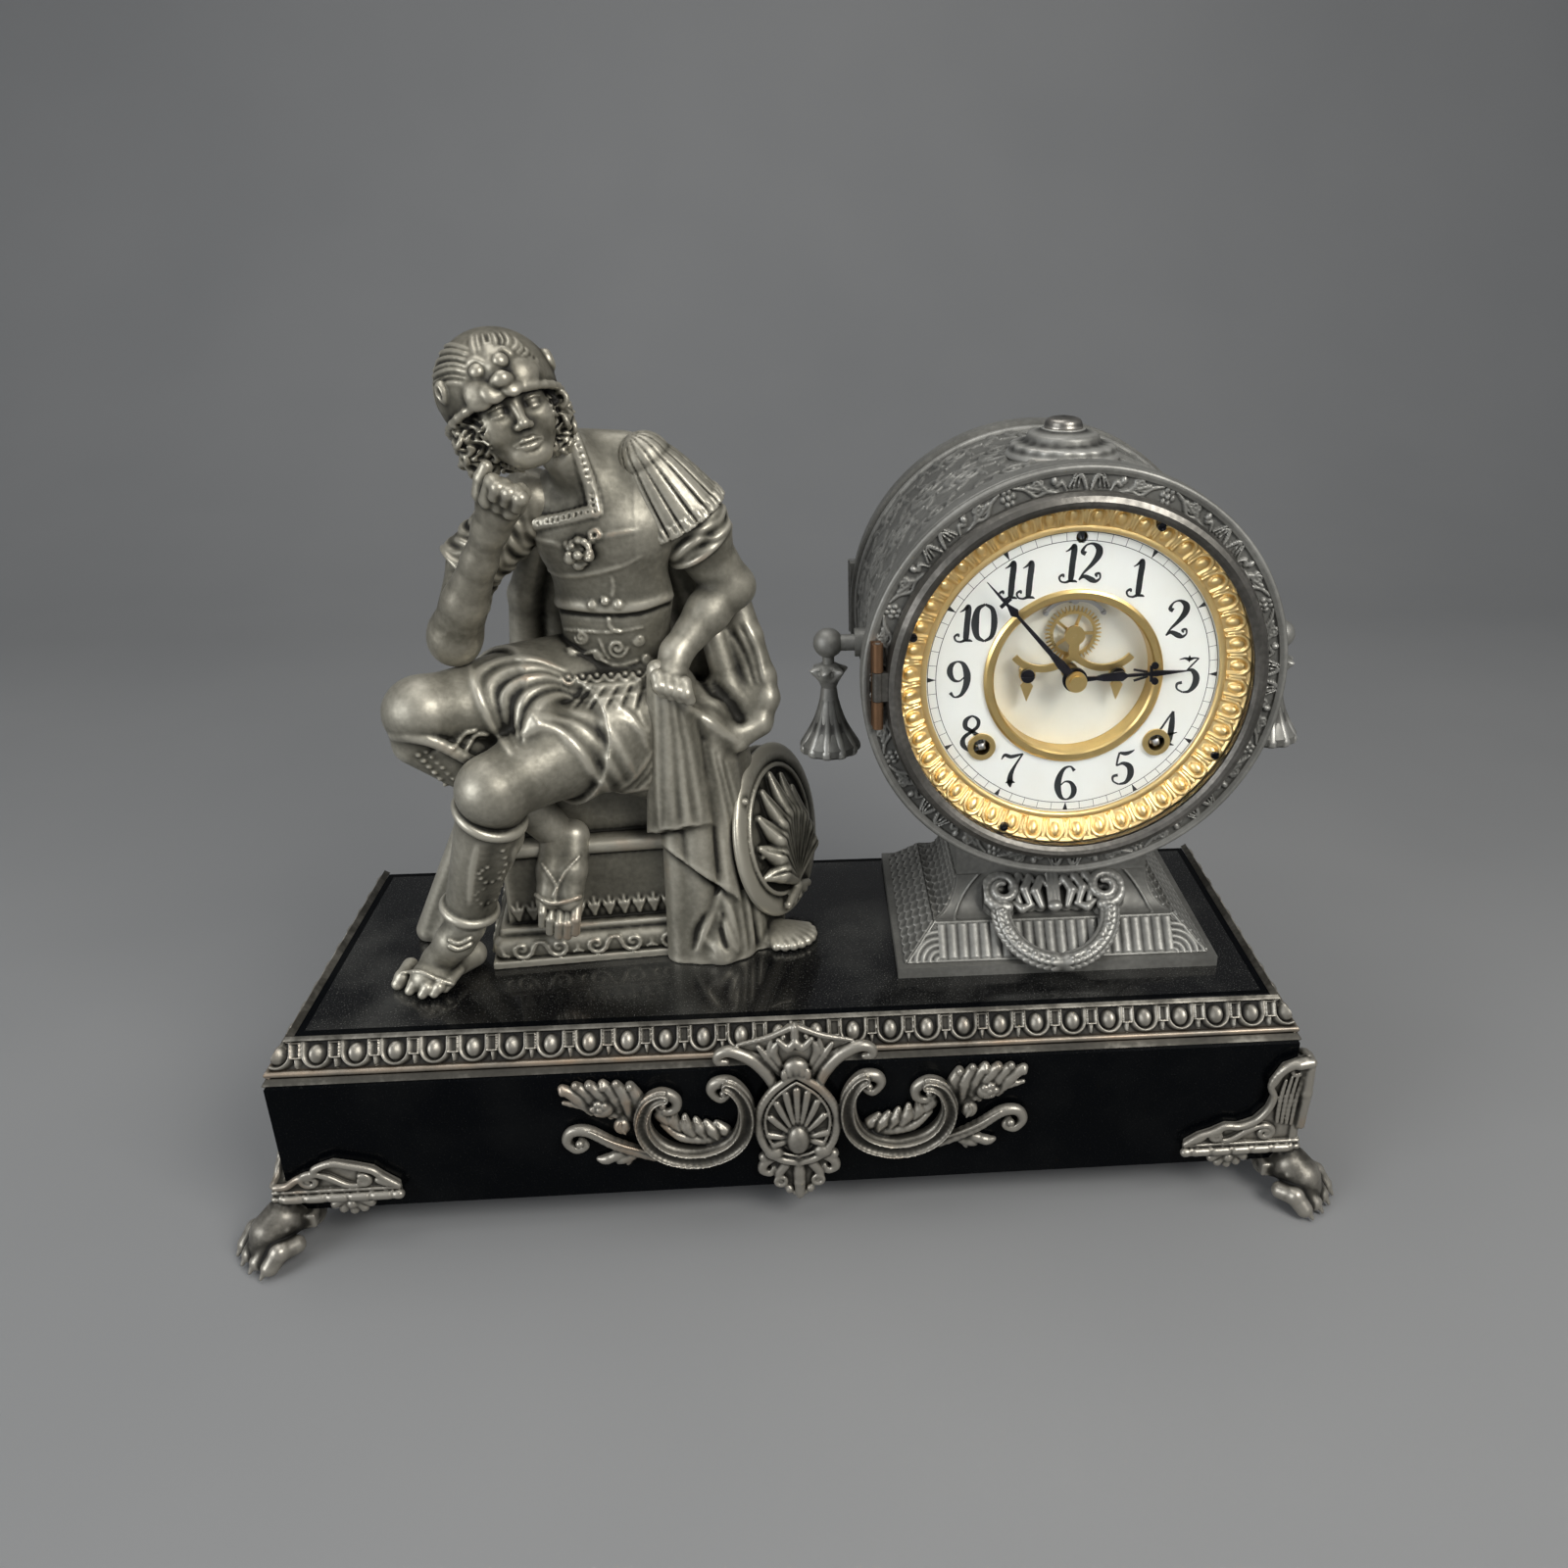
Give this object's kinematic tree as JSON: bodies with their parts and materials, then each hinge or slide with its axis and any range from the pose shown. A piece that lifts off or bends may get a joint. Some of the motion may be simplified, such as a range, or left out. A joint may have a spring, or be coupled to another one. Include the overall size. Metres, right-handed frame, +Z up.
{
  "type": "figural mantel clock",
  "caption": "Mantel clock with a seated classical soldier beside a drum case with open-escapement dial, on a black base with cast bands, scroll ornament and lion-paw feet.",
  "frame": {"origin": "centre of the overall box at floor level, under the four paw feet", "axes": "+Z up, +Y to the back, the dial faces -Y, +X to the viewer's right along the base"},
  "size_m": [0.4876, 0.2116, 0.3791],
  "materials": {
    "black_enamel": "gloss black enamel on cast iron, dusty",
    "cast_bronze": "dark bronzed spelter castings, worn to copper on the edges",
    "figure_bronze": "dark bronzed spelter figure, rubbed on the high points",
    "drum_pewter": "antique grey bronzed castings",
    "door_metal": "dark patinated bezel",
    "glass": "clear bevelled glass",
    "copper_hinge": "brown copper-coloured brass",
    "gilt": "stamped gilt brass, bright",
    "porcelain": "white glazed enamel with black painted numerals",
    "plate_brass": "plain brass, aged",
    "blued_steel": "blued steel, almost black",
    "steel": "plain steel"
  },
  "bodies": {
    "case": {"base_shell": "black_enamel", "top_plate": "black_enamel", "front_moulding": "cast_bronze", "side_mouldings": "cast_bronze", "front_ornament": "cast_bronze", "foot_front_left": "cast_bronze", "foot_front_right": "cast_bronze", "foot_rear_left": "cast_bronze", "foot_rear_right": "cast_bronze", "case_screws": "steel", "figure_seat": "figure_bronze", "figure_body": "figure_bronze", "figure_head": "figure_bronze", "figure_right_arm": "figure_bronze", "figure_left_arm": "figure_bronze", "figure_drapery": "figure_bronze", "figure_shield": "figure_bronze", "pedestal": "drum_pewter", "pedestal_wreath": "drum_pewter", "drum_shell": "drum_pewter", "drum_front_ring": "drum_pewter", "drum_finial": "drum_pewter", "side_ornament_left": "drum_pewter", "side_ornament_right": "drum_pewter", "hinge_pins": "steel", "door_hinge_leaf": "copper_hinge", "sight_ring": "gilt", "sight_ring_screws": "gilt", "dial_ring": "porcelain", "dial_well": "gilt", "dial_centre": "porcelain", "winding_grommets": "gilt", "escape_bridge": "plate_brass", "bridge_screws": "blued_steel", "movement_front_plate": "plate_brass", "movement_back_plate": "plate_brass", "movement_pillars": "steel", "strike_gong": "steel"},
    "front_door": {"door_rim": "door_metal", "door_glass": "glass"},
    "rear_door_leaf": {"rear_door": "plate_brass"},
    "minute": {"minute_hand": "blued_steel", "hand_nut": "plate_brass", "cannon_pinion": "steel"},
    "hour": {"hour_hand": "blued_steel", "hour_wheel": "plate_brass"},
    "motion": {"minute_wheel": "plate_brass"},
    "escape": {"escape_wheel": "plate_brass"},
    "third": {"third_wheel": "plate_brass"},
    "centre": {"centre_wheel": "plate_brass"},
    "second": {"second_wheel": "plate_brass"},
    "time_barrel": {"time_great_wheel": "plate_brass"},
    "strike_barrel": {"strike_great_wheel": "plate_brass"},
    "time_key": {"time_winding_arbor": "steel"},
    "strike_key": {"strike_winding_arbor": "steel"},
    "pallets": {"pallet_anchor": "steel"},
    "pendulum_body": {"pendulum": "plate_brass"},
    "hammer": {"strike_hammer": "steel"},
    "regulator": {"regulator_arbor": "steel"}
  },
  "joints": [
    {"name": "front_door_hinge", "type": "hinge", "parent": "case", "child": "front_door", "pos_m": [0.0365, -0.048, 0.24], "axis": [0, 0, -1], "range_deg": [0, 110]},
    {"name": "rear_door_hinge", "type": "hinge", "parent": "case", "child": "rear_door_leaf", "pos_m": [0.0325, 0.082, 0.24], "axis": [0, 0, 1], "range_deg": [0, 120]},
    {"name": "minute_hand_turn", "type": "hinge", "parent": "case", "child": "minute", "pos_m": [0.1185, -0.04, 0.238], "axis": [0, 1, 0], "continuous": true},
    {"name": "hour_hand_turn", "type": "hinge", "parent": "case", "child": "hour", "pos_m": [0.1185, -0.038, 0.238], "axis": [0, 1, 0], "continuous": true},
    {"name": "minute_wheel_turn", "type": "hinge", "parent": "case", "child": "motion", "pos_m": [0.11225, -0.02, 0.22717], "axis": [0, 1, 0], "continuous": true},
    {"name": "third_wheel_turn", "type": "hinge", "parent": "case", "child": "third", "pos_m": [0.10635, 0, 0.24898], "axis": [0, 1, 0], "continuous": true},
    {"name": "escape_wheel_turn", "type": "hinge", "parent": "case", "child": "escape", "pos_m": [0.1185, -0.01, 0.2552], "axis": [0, 1, 0], "continuous": true},
    {"name": "centre_wheel_turn", "type": "hinge", "parent": "case", "child": "centre", "pos_m": [0.1185, 0.005, 0.238], "axis": [0, 1, 0], "continuous": true},
    {"name": "second_wheel_turn", "type": "hinge", "parent": "case", "child": "second", "pos_m": [0.13905, 0.01, 0.23365], "axis": [0, 1, 0], "continuous": true},
    {"name": "time_great_wheel_turn", "type": "hinge", "parent": "case", "child": "time_barrel", "pos_m": [0.156, 0.005, 0.208], "axis": [0, 1, 0], "continuous": true},
    {"name": "strike_great_wheel_turn", "type": "hinge", "parent": "case", "child": "strike_barrel", "pos_m": [0.081, 0.005, 0.208], "axis": [0, 1, 0], "continuous": true},
    {"name": "time_winding", "type": "hinge", "parent": "case", "child": "time_key", "pos_m": [0.156, 0.005, 0.208], "axis": [0, 1, 0], "continuous": true},
    {"name": "strike_winding", "type": "hinge", "parent": "case", "child": "strike_key", "pos_m": [0.081, 0.005, 0.208], "axis": [0, 1, 0], "continuous": true},
    {"name": "pendulum_swing", "type": "hinge", "parent": "case", "child": "pendulum_body", "pos_m": [0.1185, 0.034, 0.2694], "axis": [0, 1, 0], "range_deg": [-4, 4]},
    {"name": "pallet_rock", "type": "hinge", "parent": "case", "child": "pallets", "pos_m": [0.1185, 0, 0.2694], "axis": [0, 1, 0], "range_deg": [-4, 4]},
    {"name": "hammer_lift", "type": "hinge", "parent": "case", "child": "hammer", "pos_m": [0.0848, 0.02, 0.246], "axis": [0, 1, 0], "range_deg": [0, 14]},
    {"name": "regulator_turn", "type": "hinge", "parent": "case", "child": "regulator", "pos_m": [0.1185, 0.01, 0.2966], "axis": [0, 1, 0], "continuous": true}
  ],
  "couplings": [
    {"joint": "hour_hand_turn", "follows": "minute_hand_turn", "ratio": 0.083333},
    {"joint": "minute_wheel_turn", "follows": "minute_hand_turn", "ratio": -0.33333},
    {"joint": "escape_wheel_turn", "follows": "third_wheel_turn", "ratio": -12},
    {"joint": "centre_wheel_turn", "follows": "third_wheel_turn", "ratio": -0.083333},
    {"joint": "second_wheel_turn", "follows": "third_wheel_turn", "ratio": 0.013889},
    {"joint": "time_great_wheel_turn", "follows": "third_wheel_turn", "ratio": -0.001929},
    {"joint": "pallet_rock", "follows": "pendulum_swing", "ratio": 1}
  ]
}
